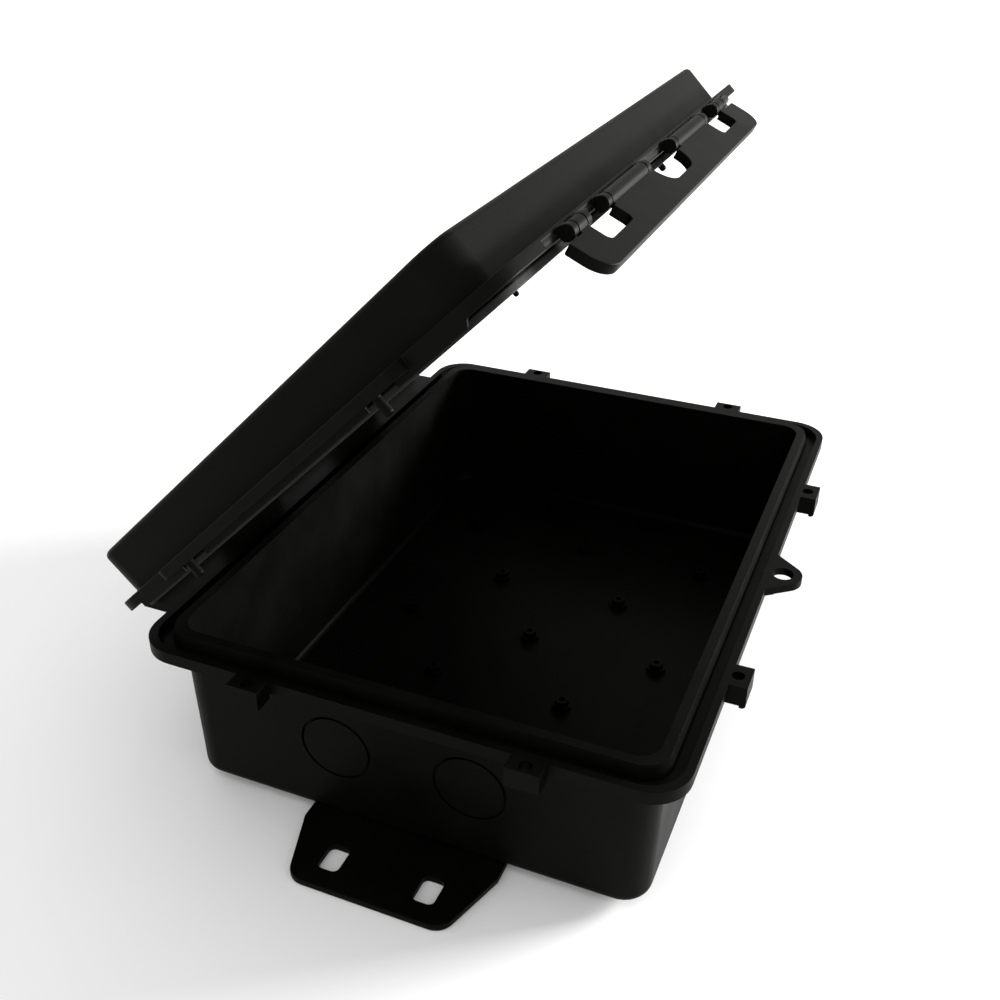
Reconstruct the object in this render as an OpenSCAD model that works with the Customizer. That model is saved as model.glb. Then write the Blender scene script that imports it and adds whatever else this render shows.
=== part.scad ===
// Weatherproof equipment box with a hinged lid, a latch flap and a mounting plate.
// Frame: X from the hinge side to the latch side, Y from the knockout end to the far end, Z up.
// The origin is the centre of the mounting plate's underside.

/* [Tub] */
// Width over the rim flange, hinge side to latch side
rim_w = 225; // [210:1:240]
// Length over the rim flange, end to end
rim_l = 304.5; // [290:0.5:330]
// Height of the tub from its underside to the top of its raised lip
tub_h = 75.4; // [62:0.1:110]
// Wall thickness of the tub
wall = 2.8; // [2.2:0.1:3.2]
// Corner radius of the rim flange, seen from above
rim_r = 16; // [15:0.5:19]

/* [Lid] */
// Height of the lid's top above the raised lip
lid_h = 21; // [17:0.1:40]
// Wall thickness of the lid
lid_wall = 2.6; // [2:0.1:3]
// Angle at which the lid stands open, as drawn
open_deg = 45.2; // [20:0.1:90]

/* [Hinge] */
// Distance from the rim flange out to the axis of the hinge pin
hinge_out = 14.3; // [12:0.1:18]
// Radius of the hinge knuckles
knuckle_r = 3.5; // [3.2:0.1:3.8]
// Radius of the hinge pin
hinge_pin_r = 1.9; // [1.5:0.1:2]
// Length of the row of knuckles
hinge_l = 250; // [200:1:256]

/* [Latch] */
// Length of the latch flap
flap_l = 222; // [216:1:232]
// Height of the latch flap, from its pin to its edge
flap_h = 19.4; // [18:0.1:26]
// Thickness of the latch flap
flap_t = 2.3; // [1.8:0.1:2.4]
// Angle at which the flap stands out from shut, as drawn
flare_deg = 20; // [0:1:60]
// Distance from the middle to each lug on the latch side
lug_y = 77.5; // [76:0.5:79]
// Radius of the hole in each latch lug
lug_hole_r = 2.6; // [1.6:0.1:2.6]
// Radius of the hole in the padlock eye
eye_hole_r = 4.6; // [4:0.1:4.7]

/* [Ears] */
// Distance from the middle to each ear on the two ends
ear_x = 57; // [48:0.5:62]
// Radius of the hole in each end ear
ear_hole_r = 2.65; // [2.6:0.05:2.9]

/* [Mounting] */
// Thickness of the mounting plate
mount_t = 3; // [3:0.5:5]
// Distance of each slot from the middle of the plate, across
slot_x = 20.8; // [16:0.1:22]
// Distance of each slot from the middle of the plate, along
slot_y = 161.6; // [161:0.1:163]
// Width of each slot
slot_w = 9; // [6:0.5:10]
// Length of each slot
slot_l = 12.6; // [11:0.1:14]

/* [Inside] */
// Spacing of the floor bosses across the box
boss_dx = 32.6; // [28:0.1:34]
// Spacing of the floor bosses along the box
boss_dy = 43.4; // [36:0.1:46]
// Radius of the screw hole in each floor boss
boss_hole_r = 1.4; // [1:0.1:1.7]

/* [Knockouts] */
// Radius of each knockout, to the outside of its groove
knockout_r = 15.5; // [10:0.5:16]
// Distance of each knockout from the middle
knockout_x = 29; // [20:0.5:32]

/* [Hidden] */
$fn = 64;
black = [0.055, 0.055, 0.05];
steel = [0.6, 0.6, 0.58];
rubber = [0.03, 0.03, 0.03];

// levels with the lid shut
tub_z = mount_t;
lip_z = tub_z + tub_h;
rim_top = lip_z - 2.9;
rim_bot = lip_z - 8.4;
gutter_z = lip_z - 6.2;
floor_z = tub_z + wall;
ring_bot = rim_top + 0.3;
ring_top = lip_z + 1.8;
lid_top = lip_z + lid_h;
skirt_z = lip_z - 4.9;
step_z = lip_z + 0.4;
knockout_z = lip_z - 37.9;

// distances in from the edge of the rim flange
gutter_in = 3.2;
lip_foot = 7.7;
lip_top_in = 9.2;
opening_in = 13.2;
body_top_in = opening_in - wall;
draw_in = 1.8;
body_bot_in = body_top_in + draw_in;
rib_in = 4.6;
rib_t = 1.8;
seal_in = 4;
seal_w = 3;
step_in = 7;

// distances out from the edge of the rim flange
skirt_out = 1.9;
skirt_gap = 0.5;

// corner and edge radii
corner_step = 0.53;
body_r = 12;
body_edge = 4.5;
floor_edge = 3;

// lid body, seen from above
lid_x0 = -rim_w / 2 + 5;
lid_x1 = rim_w / 2 - 8.2;
lid_l = rim_l - 8;
lid_r = 12;
lid_edge = 2.5;

// end ears, and the lid plates with pegs that close over them
ear_w = 13.4;
ear_out = 7.2;
ear_h = 8.8;
ear_hole_out = 3.6;
plate_w = 146;
plate_out = 7.5;
plate_r = 6;
peg_r = 1.7;
peg_l = 7;
peg_tip = 0.8;

// latch lugs and padlock eye
lug_out = 7.4;
lug_h = 9;
lug_tip_h = 10;
lug_tip_t = 2.5;
lug_hole_out = 2.3;
eye_out = 4.8;
eye_r = 8.4;
eye_t = 3.6;
eye_root = 14.5;
gusset_y = 11.2;
gusset_t = 2.4;

// latch flap and its pins, with places along Y measured from the middle
flap_x = rim_w / 2 + 3.3;
flap_z = lip_z - 2.6;
flap_r = 9;
barrel_r = 3;
latch_pin_r = 1.9;
fit = 0.05;
gap = 0.4;
neck = 3.5;
flap_rim = 1.9;
flap_border = 1.8;
clip_w = 4.2;
eye_clip = eye_root + 2.8;
lug_clip = lug_y - ear_w / 2 - 2.1;
end_clip = lug_y + ear_w / 2 + 2.1;
tip_clip = end_clip + 17.1;
pin_end = flap_l / 2 + 3;
pin_cap = 1;
lug_window_y = lug_clip - 2.7;
lug_window_l = end_clip + clip_w + 0.3 - lug_window_y;
lug_window_h = 11.7;
lug_window_r = 2.5;
eye_window_y = eye_clip - 0.4;
eye_window_h = 12.1;
eye_window_r = 8.4;
latch_half = flap_l / 2 + 6;

// hinge
hinge_x = -rim_w / 2 - hinge_out;
hinge_z = lip_z + 0.6;
hinge_n = 5;
pitch = hinge_l / hinge_n;
arm_t = 3.4;

// mounting plate, its screws and the pads that take them
mount_half = 43.3;
mount_bend = rim_l / 2 - 6.4;
mount_end = rim_l / 2 + 24.3;
mount_r = 8;
mount_corner = 27.5;
slot_r = 2.5;
screw_x = 30;
screw_y = rim_l / 2 - 28;
screw_r = 1.75;
screw_head_r = 3.6;
screw_head_z = 0.2;
screw_head_h = 2;
screw_l = 8.6;
pad_r = 4.5;
pad_h = 4.2;

// ---- shapes used by several pieces ----

// rounded rectangle
module round_rect(w, l, r) {
  square([w - 2 * r, l], center = true);
  square([w, l - 2 * r], center = true);
  for (sx = [-1, 1])
    for (sy = [-1, 1])
      translate([sx * (w / 2 - r), sy * (l / 2 - r)])
        circle(r = r);
}

// outline of the rim flange, drawn in by "inset"
module rim_shape(inset) {
  round_rect(rim_w - 2 * inset, rim_l - 2 * inset, rim_r - corner_step * inset);
}

// ring that follows the rim, from "inset" inward for width "t"
module rim_ring(inset, t, z0, z1) {
  translate([0, 0, z0])
    linear_extrude(z1 - z0)
      difference() {
        rim_shape(inset);
        rim_shape(inset + t);
      }
}

// block with rounded corners whose sides lean out by "grow" over its height
module lean_block(w, l, h, r, grow) {
  translate([0, l / 2 - r, 0])
    rotate([90, 0, 0])
      linear_extrude(l - 2 * r)
        polygon([[-w / 2, 0], [w / 2, 0], [w / 2 + grow, h], [-w / 2 - grow, h]]);
  translate([-w / 2 + r, 0, 0])
    rotate([90, 0, 90])
      linear_extrude(w - 2 * r)
        polygon([[-l / 2, 0], [l / 2, 0], [l / 2 + grow, h], [-l / 2 - grow, h]]);
  for (sx = [-1, 1])
    for (sy = [-1, 1])
      translate([sx * (w / 2 - r), sy * (l / 2 - r), 0])
        cylinder(h = h, r1 = r, r2 = r + grow);
}

// half section of a pan: out to x at the height of its rounded edge, and x + grow at its rim
module pan_section(x, h, grow, e) {
  polygon([[0, e], [x, e], [x + grow, h], [0, h]]);
  square([x - e, e + 1]);
  translate([x - e, e])
    circle(r = e);
}

// the same block with its lower edge rounded by "e"
module pan(w, l, h, r, grow, e) {
  translate([0, l / 2 - r, 0])
    rotate([90, 0, 0])
      linear_extrude(l - 2 * r)
        for (m = [0, 1])
          mirror([m, 0])
            pan_section(w / 2, h, grow, e);
  translate([-w / 2 + r, 0, 0])
    rotate([90, 0, 90])
      linear_extrude(w - 2 * r)
        for (m = [0, 1])
          mirror([m, 0])
            pan_section(l / 2, h, grow, e);
  for (sx = [-1, 1])
    for (sy = [-1, 1])
      translate([sx * (w / 2 - r), sy * (l / 2 - r), 0])
        rotate_extrude()
          pan_section(r, h, grow, e);
}

// rod along Y from y0 to y1, about the axis x, z
module rod(x, z, r, y0, y1) {
  translate([x, y1, z])
    rotate([90, 0, 0])
      cylinder(h = y1 - y0, r = r);
}

// the same rod with chamfered ends
module pin(x, z, r, y0, y1) {
  c = 0.5;
  translate([x, y1, z])
    rotate([90, 0, 0]) {
      cylinder(h = c, r1 = r - c, r2 = r);
      translate([0, 0, c])
        cylinder(h = y1 - y0 - 2 * c, r = r);
      translate([0, 0, y1 - y0 - c])
        cylinder(h = c, r1 = r, r2 = r - c);
    }
}

// point where a line from p touches the circle about c, on the side given by s
function touch(p, c, r, s) =
  let (d = p - c, a = atan2(d[1], d[0]) + s * acos(r / norm(d)))
  c + r * [cos(a), sin(a)];

// turns the shut lid about the hinge pin to where it stands
module opened() {
  translate([hinge_x, 0, hinge_z])
    rotate([0, -open_deg, 0])
      translate([-hinge_x, 0, -hinge_z])
        children();
}

// turns the shut flap about its pins, on the open lid
module flared() {
  opened()
    translate([flap_x, 0, flap_z])
      rotate([0, -flare_deg, 0])
        translate([-flap_x, 0, -flap_z])
          children();
}

// two copies, one turned round to the far end
module both_ends() {
  for (a = [0, 180])
    rotate([0, 0, a])
      children();
}

// two copies, one mirrored to the near half
module both_halves() {
  for (m = [0, 1])
    mirror([0, m, 0])
      children();
}

// ---- tub ----

module tub_shell() {
  translate([0, 0, tub_z])
    pan(rim_w - 2 * body_bot_in, rim_l - 2 * body_bot_in, rim_bot - tub_z + 1, body_r, draw_in,
        body_edge);
  translate([0, 0, rim_bot])
    linear_extrude(gutter_z - rim_bot)
      rim_shape(0);
  rim_ring(0, gutter_in, gutter_z - 0.5, rim_top);
  translate([0, 0, gutter_z])
    lean_block(rim_w - 2 * lip_foot, rim_l - 2 * lip_foot, lip_z - gutter_z,
               rim_r - corner_step * lip_foot, lip_foot - lip_top_in);
}

module tub_hollow() {
  w = rim_w - 2 * (opening_in + draw_in);
  l = rim_l - 2 * (opening_in + draw_in);
  r = rim_r - corner_step * opening_in - draw_in;
  translate([0, 0, floor_z])
    pan(w, l, lip_z - floor_z + 1, r, draw_in, floor_edge);
}

module end_ears() {
  for (sx = [-1, 1])
    translate([sx * ear_x - ear_w / 2, -rim_l / 2 - ear_out, rim_top - ear_h])
      cube([ear_w, ear_out + 1, ear_h]);
}

module end_ear_holes() {
  for (sx = [-1, 1])
    translate([sx * ear_x, -rim_l / 2 - ear_hole_out, rim_top - ear_h - 1])
      cylinder(h = ear_h + 2, r = ear_hole_r);
}

// lug with a catch at its foot
module latch_lug() {
  x0 = rim_w / 2 - 1;
  x1 = rim_w / 2 + lug_out;
  translate([0, lug_y + ear_w / 2, rim_top])
    rotate([90, 0, 0])
      linear_extrude(ear_w)
        polygon([[x0, 0], [x1, 0], [x1, 1 - lug_tip_h], [x1 - 1, -lug_tip_h],
                 [x1 - lug_tip_t, -lug_tip_h], [x1 - lug_tip_t, -lug_h], [x0, -lug_h]]);
}

module padlock_eye() {
  root = rim_w / 2;
  c = [root + eye_out, 0];
  t = touch([root, eye_root], c, eye_r, -1);
  translate([0, 0, rim_top - eye_t])
    linear_extrude(eye_t) {
      translate(c)
        circle(r = eye_r);
      polygon([[root - 1, -eye_root], [root, -eye_root], [t[0], -t[1]], t, [root, eye_root],
               [root - 1, eye_root]]);
    }
  both_halves()
    translate([0, gusset_y + gusset_t / 2, rim_top])
      rotate([90, 0, 0])
        linear_extrude(gusset_t)
          polygon([[root - 1, -1], [root + 3.6, 0.2 - eye_t], [root, 0.4 + rim_bot - rim_top],
                   [root - 1, 0.4 + rim_bot - rim_top]]);
}

// places the floor bosses: a grid with every other place left out
module boss_places() {
  for (i = [-2 : 2])
    for (j = [-2 : 2])
      if ((i + j) % 2 == 0)
        translate([i * boss_dx, j * boss_dy, floor_z - 0.5])
          children();
}

module boss() {
  cylinder(h = 2.5, r = 4.5);
  cylinder(h = 5.1, r = 3.2);
}

module screw_places() {
  for (sx = [-1, 1])
    translate([sx * screw_x, -screw_y, 0])
      children();
}

// arm and knuckle of the tub for place i in the row, counted from the near end
module tub_knuckle(i) {
  y0 = -hinge_l / 2 + i * pitch + gap / 2;
  y1 = y0 + pitch - gap;
  x0 = -rim_w / 2 + 1;
  translate([0, y1, 0])
    rotate([90, 0, 0])
      linear_extrude(y1 - y0)
        polygon([[x0, rim_top], [hinge_x + knuckle_r, rim_top], [hinge_x + knuckle_r, hinge_z],
                 [hinge_x - knuckle_r, hinge_z], [hinge_x - knuckle_r, rim_top - 1],
                 [hinge_x, rim_bot + 1], [x0, rim_bot + 1]]);
  rod(hinge_x, hinge_z, knuckle_r, y0, y1);
}

// shelf that closes the gap between the rim flange and a knuckle of the lid
module hinge_shelf(i) {
  x0 = hinge_x + knuckle_r + 0.5;
  translate([x0, -hinge_l / 2 + i * pitch - 0.5, rim_bot + 1])
    cube([-rim_w / 2 + 1 - x0, pitch + 1, rim_top - rim_bot - 1]);
}

// groove that marks where a cable entry breaks out of the near end
module knockout_groove() {
  y = -rim_l / 2 + body_bot_in - draw_in / 2;
  translate([0, y + 1.3, knockout_z])
    rotate([90, 0, 0])
      linear_extrude(4)
        difference() {
          circle(r = knockout_r);
          circle(r = knockout_r - 1.1);
        }
}

module tub_outside() {
  tub_shell();
  both_ends()
    end_ears();
  both_halves()
    latch_lug();
  padlock_eye();
  for (i = [0 : 2 : hinge_n - 1])
    tub_knuckle(i);
  for (i = [1 : 2 : hinge_n - 1])
    hinge_shelf(i);
}

module tub_holes() {
  both_ends()
    end_ear_holes();
  both_halves()
    translate([rim_w / 2 + lug_hole_out, lug_y, rim_top - lug_tip_h - 1])
      cylinder(h = lug_tip_h + 2, r = lug_hole_r);
  translate([rim_w / 2 + eye_out, 0, rim_top - eye_t - 1])
    cylinder(h = eye_t + 2, r = eye_hole_r);
  boss_places()
    translate([0, 0, 1.1])
      cylinder(h = 5, r = boss_hole_r);
  both_ends()
    screw_places()
      translate([0, 0, tub_z - 1])
        cylinder(h = screw_l - mount_t + 1.3, r = screw_r + fit);
  rod(hinge_x, hinge_z, hinge_pin_r + fit, -hinge_l / 2 - 1, hinge_l / 2 + 1);
  for (sx = [-1, 1])
    translate([sx * knockout_x, 0, 0])
      knockout_groove();
}

module tub() {
  color(black)
    difference() {
      union() {
        difference() {
          tub_outside();
          tub_hollow();
        }
        boss_places()
          boss();
        both_ends()
          screw_places()
            translate([0, 0, tub_z + 1])
              cylinder(h = wall + pad_h - 1, r = pad_r);
      }
      tub_holes();
    }
}

module hinge_pin() {
  color(steel)
    pin(hinge_x, hinge_z, hinge_pin_r, -hinge_l / 2, hinge_l / 2);
}

// ---- mounting plate ----

// one half of the plate seen from above, from the middle to its tapered end
module mount_shape() {
  c = [mount_corner, -mount_end + mount_r];
  t = touch([mount_half, -mount_bend], c, mount_r, -1);
  difference() {
    union() {
      polygon([[-mount_half, 1], [-mount_half, -mount_bend], [-t[0], t[1]], [-c[0], c[1]],
               [-c[0], c[1] - mount_r], [c[0], c[1] - mount_r], c, t, [mount_half, -mount_bend],
               [mount_half, 1]]);
      for (sx = [-1, 1])
        translate([sx * c[0], c[1]])
          circle(r = mount_r);
    }
    for (sx = [-1, 1])
      translate([sx * slot_x, -slot_y])
        round_rect(slot_w, slot_l, slot_r);
  }
}

module mounting_plate() {
  color(black)
    difference() {
      linear_extrude(mount_t)
        both_ends()
          mount_shape();
      both_ends()
        screw_places() {
          translate([0, 0, -1])
            cylinder(h = mount_t + 2, r = screw_r + 0.2);
          cylinder(h = screw_head_z + screw_head_h, r1 = screw_head_r + 0.3, r2 = screw_r + 0.2);
        }
    }
}

// countersunk screw, driven up through the plate into the tub
module plate_screw() {
  difference() {
    union() {
      translate([0, 0, screw_head_z])
        cylinder(h = screw_head_h, r1 = screw_head_r, r2 = screw_r);
      translate([0, 0, screw_head_z])
        cylinder(h = screw_l - 1 - screw_head_z, r = screw_r);
      translate([0, 0, screw_l - 1])
        cylinder(h = 1, r1 = screw_r, r2 = screw_r - 0.6);
    }
    for (a = [0, 90])
      rotate([0, 0, a])
        translate([-1.9, -0.4, 0])
          cube([3.8, 0.8, 1.1]);
  }
}

module plate_screws() {
  color(steel)
    both_ends()
      screw_places()
        plate_screw();
}

// ---- lid ----

// body of the lid, or its hollow when drawn in by the wall thickness
module lid_block(inset, z0) {
  translate([(lid_x0 + lid_x1) / 2, 0, lid_top - inset])
    mirror([0, 0, 1])
      pan(lid_x1 - lid_x0 - 2 * inset, lid_l - 2 * inset, lid_top - inset - z0, lid_r - inset, 0,
          lid_edge);
}

// plate along one end of the lid, with the two pegs that enter the ears
module end_plate() {
  y0 = -rim_l / 2 - plate_out;
  translate([0, 0, ring_bot])
    linear_extrude(ring_top - ring_bot) {
      translate([-plate_w / 2 + plate_r, y0])
        square([plate_w - 2 * plate_r, plate_out]);
      translate([-plate_w / 2, y0 + plate_r])
        square([plate_w, plate_out - plate_r + 1]);
      for (s = [-1, 1])
        translate([s * (plate_w / 2 - plate_r), y0 + plate_r])
          circle(r = plate_r);
    }
  for (s = [-1, 1])
    translate([s * ear_x, -rim_l / 2 - ear_hole_out, ring_bot - peg_l]) {
      cylinder(h = peg_tip, r1 = peg_r - peg_tip, r2 = peg_r);
      translate([0, 0, peg_tip])
        cylinder(h = peg_l - peg_tip + 0.5, r = peg_r);
    }
}

// near and far ends of the four latch pins: each is driven in from the far side, up to a closed clip
function latch_pins() = [
  [-tip_clip + pin_cap, -end_clip],
  [-lug_clip + pin_cap, -eye_clip],
  [eye_clip + pin_cap, lug_clip],
  [end_clip + pin_cap, pin_end]
];

// clip that holds a latch pin, starting at y0
module latch_clip(y0) {
  x0 = rim_w / 2 + 0.7;
  rod(flap_x, flap_z, barrel_r, y0, y0 + clip_w);
  translate([x0, y0, flap_z - 1.6])
    cube([flap_x - x0, clip_w, ring_top - flap_z + 0.6]);
}

// arm and knuckle of the lid for place i in the row
module lid_knuckle(i) {
  y0 = -hinge_l / 2 + i * pitch + gap / 2;
  translate([hinge_x, y0, ring_top - arm_t])
    cube([hinge_out + 3, pitch - gap, arm_t]);
  rod(hinge_x, hinge_z, knuckle_r, y0, y0 + pitch - gap);
}

module lid_shell() {
  difference() {
    union() {
      lid_block(0, ring_bot);
      translate([0, 0, ring_bot])
        linear_extrude(ring_top - ring_bot)
          rim_shape(-skirt_out);
      both_ends()
        end_plate();
      for (i = [1 : 2 : hinge_n - 1])
        lid_knuckle(i);
    }
    lid_block(lid_wall, ring_bot - 1);
    translate([0, 0, ring_bot - 1])
      linear_extrude(step_z - ring_bot + 1)
        rim_shape(step_in);
    rod(flap_x, flap_z, barrel_r + 0.3, -latch_half, latch_half);
  }
  rim_ring(rib_in, rib_t, gutter_z + 2, ring_bot + 0.5);
}

// skirt that hangs outside the rim flange, cut away for the ears, the latch and the hinge
module lid_skirt() {
  h = ring_bot - skirt_z + 1;
  difference() {
    rim_ring(-skirt_out, skirt_out - skirt_gap, skirt_z, ring_bot + 0.5);
    for (sx = [-1, 1])
      for (sy = [-1, 1])
        translate([sx * ear_x - ear_w / 2 - 0.8, sy * rim_l / 2 - 4, skirt_z - 1])
          cube([ear_w + 1.6, 8, h]);
    translate([0, rim_l / 2 + 8, 0])
      rotate([90, 0, 0])
        linear_extrude(rim_l + 16)
          polygon([[rim_w / 2 - rim_r, skirt_z - 1], [rim_w / 2 + 8, skirt_z - 1],
                   [rim_w / 2 + 8, skirt_z + h], [rim_w / 2 - rim_r + h, skirt_z + h]]);
    translate([-rim_w / 2 - 8, -rim_l / 2 - 8, skirt_z - 1])
      cube([rim_r + 9, rim_l + 16, h]);
  }
}

module lid() {
  color(black)
    opened()
      difference() {
        union() {
          lid_shell();
          lid_skirt();
          both_halves()
            for (y = [eye_clip, lug_clip - clip_w, end_clip, tip_clip - clip_w])
              latch_clip(y);
        }
        for (p = latch_pins())
          rod(flap_x, flap_z, latch_pin_r + fit, p[0], p[1] + 1);
        rod(hinge_x, hinge_z, hinge_pin_r + fit, -hinge_l / 2 - 1, hinge_l / 2 + 1);
      }
}

// rubber seal pressed onto the lid's rib, over the gutter of the tub
module lid_gasket() {
  color(rubber)
    opened()
      difference() {
        rim_ring(seal_in, seal_w, gutter_z + 0.3, gutter_z + 3);
        rim_ring(rib_in - fit, rib_t + 2 * fit, gutter_z + 2 - fit, gutter_z + 4);
      }
}

// ---- latch flap and its pins ----

// stretches of the far half of the flap that carry a barrel
function barrels() = [
  [eye_clip + clip_w + gap, lug_clip - clip_w - gap],
  [end_clip + clip_w + gap, tip_clip - clip_w - gap]
];

// window for a lug, with its outer corners rounded
module lug_window() {
  translate([lug_window_y, -1])
    square([lug_window_l, lug_window_h - lug_window_r + 1]);
  translate([lug_window_y + lug_window_r, -1])
    square([lug_window_l - 2 * lug_window_r, lug_window_h + 1]);
  for (y = [lug_window_y + lug_window_r, lug_window_y + lug_window_l - lug_window_r])
    translate([y, lug_window_h - lug_window_r])
      circle(r = lug_window_r);
}

// the flap laid out flat: along the pin, and out from it
module flap_shape() {
  half = flap_l / 2;
  difference() {
    union() {
      translate([-half + 1, neck])
        square([flap_l - 2, 3]);
      translate([-half, neck + 1])
        square([flap_l, flap_h - neck - 1 - flap_r]);
      translate([-half + flap_r, neck + 1])
        square([flap_l - 2 * flap_r, flap_h - neck - 1]);
      for (s = [-1, 1]) {
        translate([s * (half - flap_r), flap_h - flap_r])
          intersection() {
            circle(r = flap_r);
            translate([-flap_r, -1])
              square([2 * flap_r, flap_r + 1]);
          }
        translate([s * (half - 1), neck + 1])
          circle(r = 1);
      }
    }
    for (m = [0, 1])
      mirror([m, 0])
        lug_window();
    translate([-eye_window_y, -1])
      square([2 * eye_window_y, eye_window_h - eye_window_r + 1]);
    translate([-eye_window_y + eye_window_r, -1])
      square([2 * (eye_window_y - eye_window_r), eye_window_h + 1]);
    for (s = [-1, 1])
      translate([s * (eye_window_y - eye_window_r), eye_window_h - eye_window_r])
        circle(r = eye_window_r);
  }
}

// shallow pockets in the back of the flap, which leave a border round it and its windows
module flap_pockets() {
  half = flap_l / 2;
  y0 = neck + 1.8;
  h = flap_h - flap_border - y0;
  for (m = [0, 1])
    mirror([m, 0]) {
      translate([eye_window_y + flap_border, y0])
        square([lug_window_y - eye_window_y - 2 * flap_border, h]);
      translate([lug_window_y + lug_window_l + flap_border, y0])
        square([half - lug_window_y - lug_window_l - flap_r, h]);
      translate([lug_window_y - flap_border - 1, lug_window_h + flap_border])
        square([lug_window_l + 2 * flap_border + 2, flap_h - lug_window_h - 2 * flap_border]);
    }
}

// draws a shape of the flap upright at its pin, from x0 out for thickness "t"
module upright(x0, t) {
  translate([flap_x + x0, 0, flap_z])
    mirror([0, 0, 1])
      rotate([90, 0, 90])
        linear_extrude(t)
          children();
}

module latch_flap() {
  color(black)
    flared()
      difference() {
        union() {
          upright(-flap_t / 2 - flap_rim, flap_t + flap_rim)
            flap_shape();
          both_halves()
            for (b = barrels()) {
              rod(flap_x, flap_z, barrel_r, b[0], b[1]);
              translate([flap_x - flap_t / 2, b[0], flap_z - neck - 1])
                cube([flap_t, b[1] - b[0], neck + 1]);
            }
        }
        upright(-flap_t / 2 - flap_rim - 1, flap_rim + 1)
          flap_pockets();
        rod(flap_x, flap_z, latch_pin_r + fit, -pin_end - 1, pin_end + 1);
      }
}

// latch pin number i, counted from the near end, on the open lid
module latch_pin(i) {
  p = latch_pins()[i];
  color(black)
    opened()
      pin(flap_x, flap_z, latch_pin_r, p[0] + 0.1, p[1]);
}

module latch_pin_near_end() {
  latch_pin(0);
}

module latch_pin_near_inner() {
  latch_pin(1);
}

module latch_pin_far_inner() {
  latch_pin(2);
}

module latch_pin_far_end() {
  latch_pin(3);
}

tub();
hinge_pin();
mounting_plate();
plate_screws();
lid();
lid_gasket();
latch_pin_near_end();
latch_pin_near_inner();
latch_pin_far_inner();
latch_pin_far_end();
latch_flap();
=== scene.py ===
"""Looks of the hinged equipment box: moulded plastic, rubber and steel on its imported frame, in metres."""

import math

import bpy
from mathutils import Matrix, Vector


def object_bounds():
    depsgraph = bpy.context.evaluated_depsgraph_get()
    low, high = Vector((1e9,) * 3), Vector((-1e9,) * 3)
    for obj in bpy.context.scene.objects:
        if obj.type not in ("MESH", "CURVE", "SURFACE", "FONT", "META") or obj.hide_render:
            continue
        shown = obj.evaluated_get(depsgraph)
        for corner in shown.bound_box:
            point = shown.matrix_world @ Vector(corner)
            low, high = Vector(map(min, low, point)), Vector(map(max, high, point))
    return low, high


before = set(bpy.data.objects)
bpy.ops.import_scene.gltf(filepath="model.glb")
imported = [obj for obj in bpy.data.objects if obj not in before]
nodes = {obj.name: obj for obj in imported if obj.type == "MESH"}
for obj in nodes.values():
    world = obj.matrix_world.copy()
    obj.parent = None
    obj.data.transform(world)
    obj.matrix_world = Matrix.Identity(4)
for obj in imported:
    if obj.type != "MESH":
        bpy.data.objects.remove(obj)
cad_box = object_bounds()

# camera, as the picture was taken: turned right of +Y, tilted down and rolled a little
CAMERA_YAW = math.radians(22.09)
CAMERA_PITCH = math.radians(30.44)
CAMERA_ROLL = math.radians(0.66)
CAMERA_AT = Vector((0.1635, -0.4444, 0.3635))
LENS_MM = 42.4
SENSOR_MM = 36

# detail of the moulded surfaces, per metre
GRAIN_PER_M = 2600
MOTTLE_PER_M = 38

# rounding of the moulded edges, in metres
EDGE_ROUND = 0.00045


# ---- materials ----


def new_material(name):
    """An empty node material with its shader, and a function that adds a node to it."""
    material = bpy.data.materials.new(name)
    material.use_nodes = True
    tree = material.node_tree
    shader = tree.nodes["Principled BSDF"]

    def add(kind, **values):
        node = tree.nodes.new(kind)
        for key, value in values.items():
            if hasattr(node, key):
                setattr(node, key, value)
            else:
                node.inputs[key.replace("_", " ")].default_value = value
        return node

    return material, tree, shader, add


def noise(tree, add, place, scale, detail=2.0, roughness=0.5):
    node = add("ShaderNodeTexNoise", Scale=scale, Detail=detail, Roughness=roughness)
    tree.links.new(place.outputs["Object"], node.inputs["Vector"])
    return node.outputs["Fac"]


def ramp(tree, add, value, low, high, out_low, out_high):
    """Value between low and high, carried over to out_low and out_high."""
    node = add("ShaderNodeMapRange")
    for socket, number in zip(("From Min", "From Max", "To Min", "To Max"), (low, high, out_low, out_high)):
        node.inputs[socket].default_value = number
    tree.links.new(value, node.inputs["Value"])
    return node.outputs["Result"]


def blend_colours(tree, add, factor, first, second):
    node = add("ShaderNodeMix", data_type="RGBA")
    node.inputs["A"].default_value = (*first, 1)
    node.inputs["B"].default_value = (*second, 1)
    tree.links.new(factor, node.inputs["Factor"])
    return node.outputs["Result"]


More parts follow.
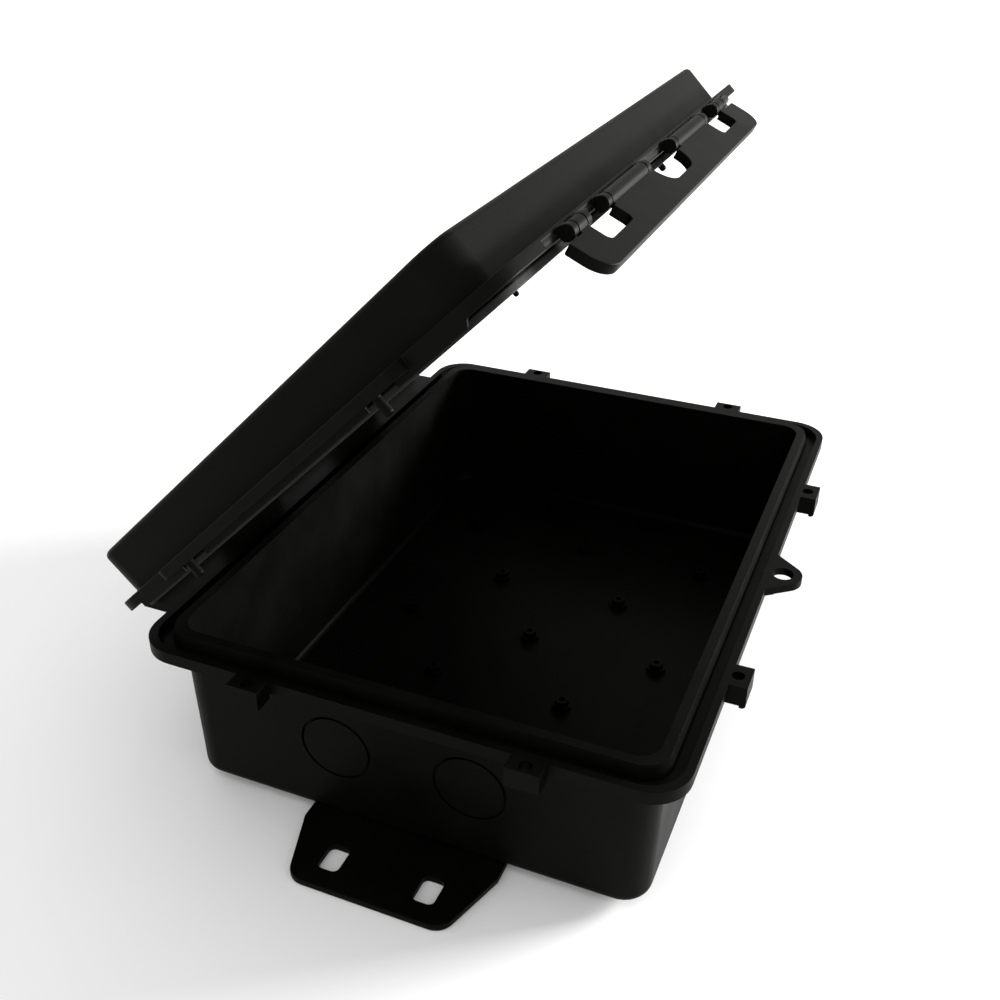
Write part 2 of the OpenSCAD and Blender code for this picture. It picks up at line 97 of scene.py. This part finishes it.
def moulded_plastic(name, dark, light, gloss, grain, specular):
    """Black moulded plastic: spark-etched grain, slow changes of sheen, faint rub marks."""
    material, tree, shader, add = new_material(name)
    place = add("ShaderNodeTexCoord")
    mottle = noise(tree, add, place, MOTTLE_PER_M, 3.0, 0.6)
    fine = noise(tree, add, place, GRAIN_PER_M, 2.0, 0.6)
    coarse = noise(tree, add, place, GRAIN_PER_M / 4, 3.0, 0.55)
    streak_map = add("ShaderNodeMapping")
    streak_map.inputs["Scale"].default_value = (1.0, 0.12, 1.0)
    tree.links.new(place.outputs["Object"], streak_map.inputs["Vector"])
    streak = add("ShaderNodeTexNoise", Scale=420.0, Detail=4.0, Roughness=0.7)
    tree.links.new(streak_map.outputs["Vector"], streak.inputs["Vector"])

    tint = ramp(tree, add, mottle, 0.35, 0.68, 0.0, 1.0)
    tree.links.new(blend_colours(tree, add, tint, dark, light), shader.inputs["Base Color"])

    sheen_change = ramp(tree, add, mottle, 0.3, 0.7, gloss - 0.035, gloss + 0.045)
    rub = ramp(tree, add, streak.outputs["Fac"], 0.62, 0.8, 0.0, -0.05)
    total = add("ShaderNodeMath", operation="ADD")
    tree.links.new(sheen_change, total.inputs[0])
    tree.links.new(rub, total.inputs[1])
    tree.links.new(total.outputs["Value"], shader.inputs["Roughness"])

    relief = add("ShaderNodeMath", operation="ADD")
    tree.links.new(fine, relief.inputs[0])
    tree.links.new(ramp(tree, add, coarse, 0.3, 0.7, 0.0, 1.4), relief.inputs[1])
    bump = add("ShaderNodeBump", Strength=grain, Distance=0.00012)
    tree.links.new(relief.outputs["Value"], bump.inputs["Height"])
    tree.links.new(bump.outputs["Normal"], shader.inputs["Normal"])
    shader.inputs["Specular IOR Level"].default_value = specular
    shader.inputs["Specular Tint"].default_value = WARM_GLOSS
    return material


def seal_rubber():
    material, tree, shader, add = new_material("seal_rubber")
    place = add("ShaderNodeTexCoord")
    speck = noise(tree, add, place, 1500, 3.0, 0.6)
    tint = ramp(tree, add, speck, 0.3, 0.7, 0.0, 1.0)
    colour = blend_colours(tree, add, tint, (0.006, 0.006, 0.006), (0.014, 0.014, 0.013))
    tree.links.new(colour, shader.inputs["Base Color"])
    tree.links.new(ramp(tree, add, speck, 0.3, 0.7, 0.72, 0.86), shader.inputs["Roughness"])
    bump = add("ShaderNodeBump", Strength=0.3, Distance=0.0001)
    tree.links.new(speck, bump.inputs["Height"])
    tree.links.new(bump.outputs["Normal"], shader.inputs["Normal"])
    shader.inputs["Specular IOR Level"].default_value = 0.3
    return material


def drawn_steel():
    """Zinc-plated steel with faint drawing lines and a dulled skin."""
    material, tree, shader, add = new_material("drawn_steel")
    place = add("ShaderNodeTexCoord")
    stretch = add("ShaderNodeMapping")
    stretch.inputs["Scale"].default_value = (1.0, 0.05, 1.0)
    tree.links.new(place.outputs["Object"], stretch.inputs["Vector"])
    line = add("ShaderNodeTexNoise", Scale=3200.0, Detail=3.0)
    tree.links.new(stretch.outputs["Vector"], line.inputs["Vector"])
    stain = noise(tree, add, place, 260, 3.0, 0.6)
    tint = ramp(tree, add, stain, 0.35, 0.65, 0.0, 1.0)
    colour = blend_colours(tree, add, tint, (0.36, 0.36, 0.35), (0.52, 0.52, 0.5))
    tree.links.new(colour, shader.inputs["Base Color"])
    tree.links.new(ramp(tree, add, line.outputs["Fac"], 0.3, 0.7, 0.28, 0.46), shader.inputs["Roughness"])
    bump = add("ShaderNodeBump", Strength=0.15, Distance=0.00005)
    tree.links.new(line.outputs["Fac"], bump.inputs["Height"])
    tree.links.new(bump.outputs["Normal"], shader.inputs["Normal"])
    shader.inputs["Metallic"].default_value = 1.0
    return material


TUB_DARK = (0.0014, 0.0014, 0.0011)
TUB_LIGHT = (0.0023, 0.0023, 0.0018)
LID_DARK = (0.0016, 0.0016, 0.0012)
LID_LIGHT = (0.0025, 0.0025, 0.0019)
# the plastic's reflections are slightly yellow
WARM_GLOSS = (1.0, 0.99, 0.86, 1.0)

MATERIALS = {
    "black_plastic": moulded_plastic("black_plastic", TUB_DARK, TUB_LIGHT, 0.42, 0.1, 0.038),
    "lid_plastic": moulded_plastic("lid_plastic", LID_DARK, LID_LIGHT, 0.44, 0.1, 0.042),
    "pin_plastic": moulded_plastic("pin_plastic", LID_DARK, LID_LIGHT, 0.36, 0.06, 0.08),
    "seal_rubber": seal_rubber(),
    "screw_steel": drawn_steel(),
}


# ---- CAD nodes ----

SLOT_OF = {
    "tub": "black_plastic",
    "mounting_plate": "black_plastic",
    "lid": "lid_plastic",
    "latch_flap": "lid_plastic",
    "lid_gasket": "seal_rubber",
    "latch_pin_near_end": "pin_plastic",
    "latch_pin_near_inner": "pin_plastic",
    "latch_pin_far_inner": "pin_plastic",
    "latch_pin_far_end": "pin_plastic",
    "hinge_pin": "screw_steel",
    "plate_screws": "screw_steel",
}


def split_in_quarters(mesh):
    """Marks seams where the quarters of a mesh meet, so that no flat face runs all round an opening."""
    middle = sum((vertex.co for vertex in mesh.vertices), Vector()) / len(mesh.vertices)
    beside = {}
    for face in mesh.polygons:
        quarter = (face.center.x > middle.x, face.center.y > middle.y)
        for key in face.edge_keys:
            beside.setdefault(key, set()).add(quarter)
    for edge in mesh.edges:
        edge.use_seam = len(beside.get(edge.key, ())) > 1


def dress(node_name):
    """Gives a CAD node its material, and rounds its edges as a mould would."""
    piece = nodes[node_name]
    slot = SLOT_OF[node_name]
    piece.data.materials.clear()
    piece.data.materials.append(MATERIALS[slot])
    split_in_quarters(piece.data)
    weld = piece.modifiers.new("weld", "WELD")
    weld.merge_threshold = 0.000002
    flat = piece.modifiers.new("flat", "DECIMATE")
    flat.decimate_type = "DISSOLVE"
    flat.angle_limit = math.radians(0.4)
    flat.delimit = {"SEAM"}
    edge = piece.modifiers.new("edge", "BEVEL")
    edge.width = EDGE_ROUND
    edge.segments = 2
    edge.limit_method = "ANGLE"
    edge.angle_limit = math.radians(32)
    # the catches of the tub's latch lugs are too fine for the full rounding
    edge.use_clamp_overlap = node_name == "tub"
    edge.harden_normals = False
    smooth = piece.modifiers.new("smooth", "WEIGHTED_NORMAL")
    smooth.keep_sharp = False


for name in nodes:
    dress(name)


# ---- floor, light and camera ----


def studio_floor():
    material, tree, shader, add = new_material("floor")
    place = add("ShaderNodeTexCoord")
    speck = noise(tree, add, place, 9, 4.0, 0.6)
    colour = blend_colours(tree, add, speck, (0.92, 0.92, 0.92), (0.95, 0.95, 0.95))
    tree.links.new(colour, shader.inputs["Base Color"])
    shader.inputs["Roughness"].default_value = 0.9
    shader.inputs["Specular IOR Level"].default_value = 0.0
    bpy.ops.mesh.primitive_plane_add(size=12, location=(0, 0, cad_box[0].z - 0.0002))
    floor = bpy.context.object
    floor.name = "floor"
    floor.data.materials.append(material)


def studio_world():
    world = bpy.data.worlds.new("studio")
    world.use_nodes = True
    world.node_tree.nodes["Background"].inputs["Color"].default_value = (1, 1, 1, 1)
    world.node_tree.nodes["Background"].inputs["Strength"].default_value = 1.0
    bpy.context.scene.world = world


def soft_light(name, at, aim, size, watts):
    data = bpy.data.lights.new(name, "AREA")
    data.shape = "RECTANGLE"
    data.size, data.size_y = size
    data.energy = watts
    light = bpy.data.objects.new(name, data)
    bpy.context.scene.collection.objects.link(light)
    light.location = at
    light.rotation_euler = (Vector(aim) - Vector(at)).to_track_quat("-Z", "Y").to_euler()


def place_camera():
    data = bpy.data.cameras.new("camera")
    data.lens, data.sensor_width = LENS_MM, SENSOR_MM
    data.clip_start, data.clip_end = 0.02, 50
    camera = bpy.data.objects.new("camera", data)
    bpy.context.scene.collection.objects.link(camera)
    ahead = Vector((-math.sin(CAMERA_YAW), math.cos(CAMERA_YAW), 0))
    right = Vector((math.cos(CAMERA_YAW), math.sin(CAMERA_YAW), 0))
    up = Vector((0, 0, 1))
    forward = ahead * math.cos(CAMERA_PITCH) - up * math.sin(CAMERA_PITCH)
    top = ahead * math.sin(CAMERA_PITCH) + up * math.cos(CAMERA_PITCH)
    side = right * math.cos(CAMERA_ROLL) + top * math.sin(CAMERA_ROLL)
    top = top * math.cos(CAMERA_ROLL) - right * math.sin(CAMERA_ROLL)
    turn = Matrix((side, top, -forward)).transposed().to_4x4()
    camera.matrix_world = Matrix.Translation(CAMERA_AT) @ turn
    bpy.context.scene.camera = camera


bpy.context.scene.view_settings.view_transform = "Standard"
studio_floor()
studio_world()
soft_light("key", (1.6, 1.3, 0.5), (0, 0, 0.1), (0.7, 0.4), 105)
place_camera()
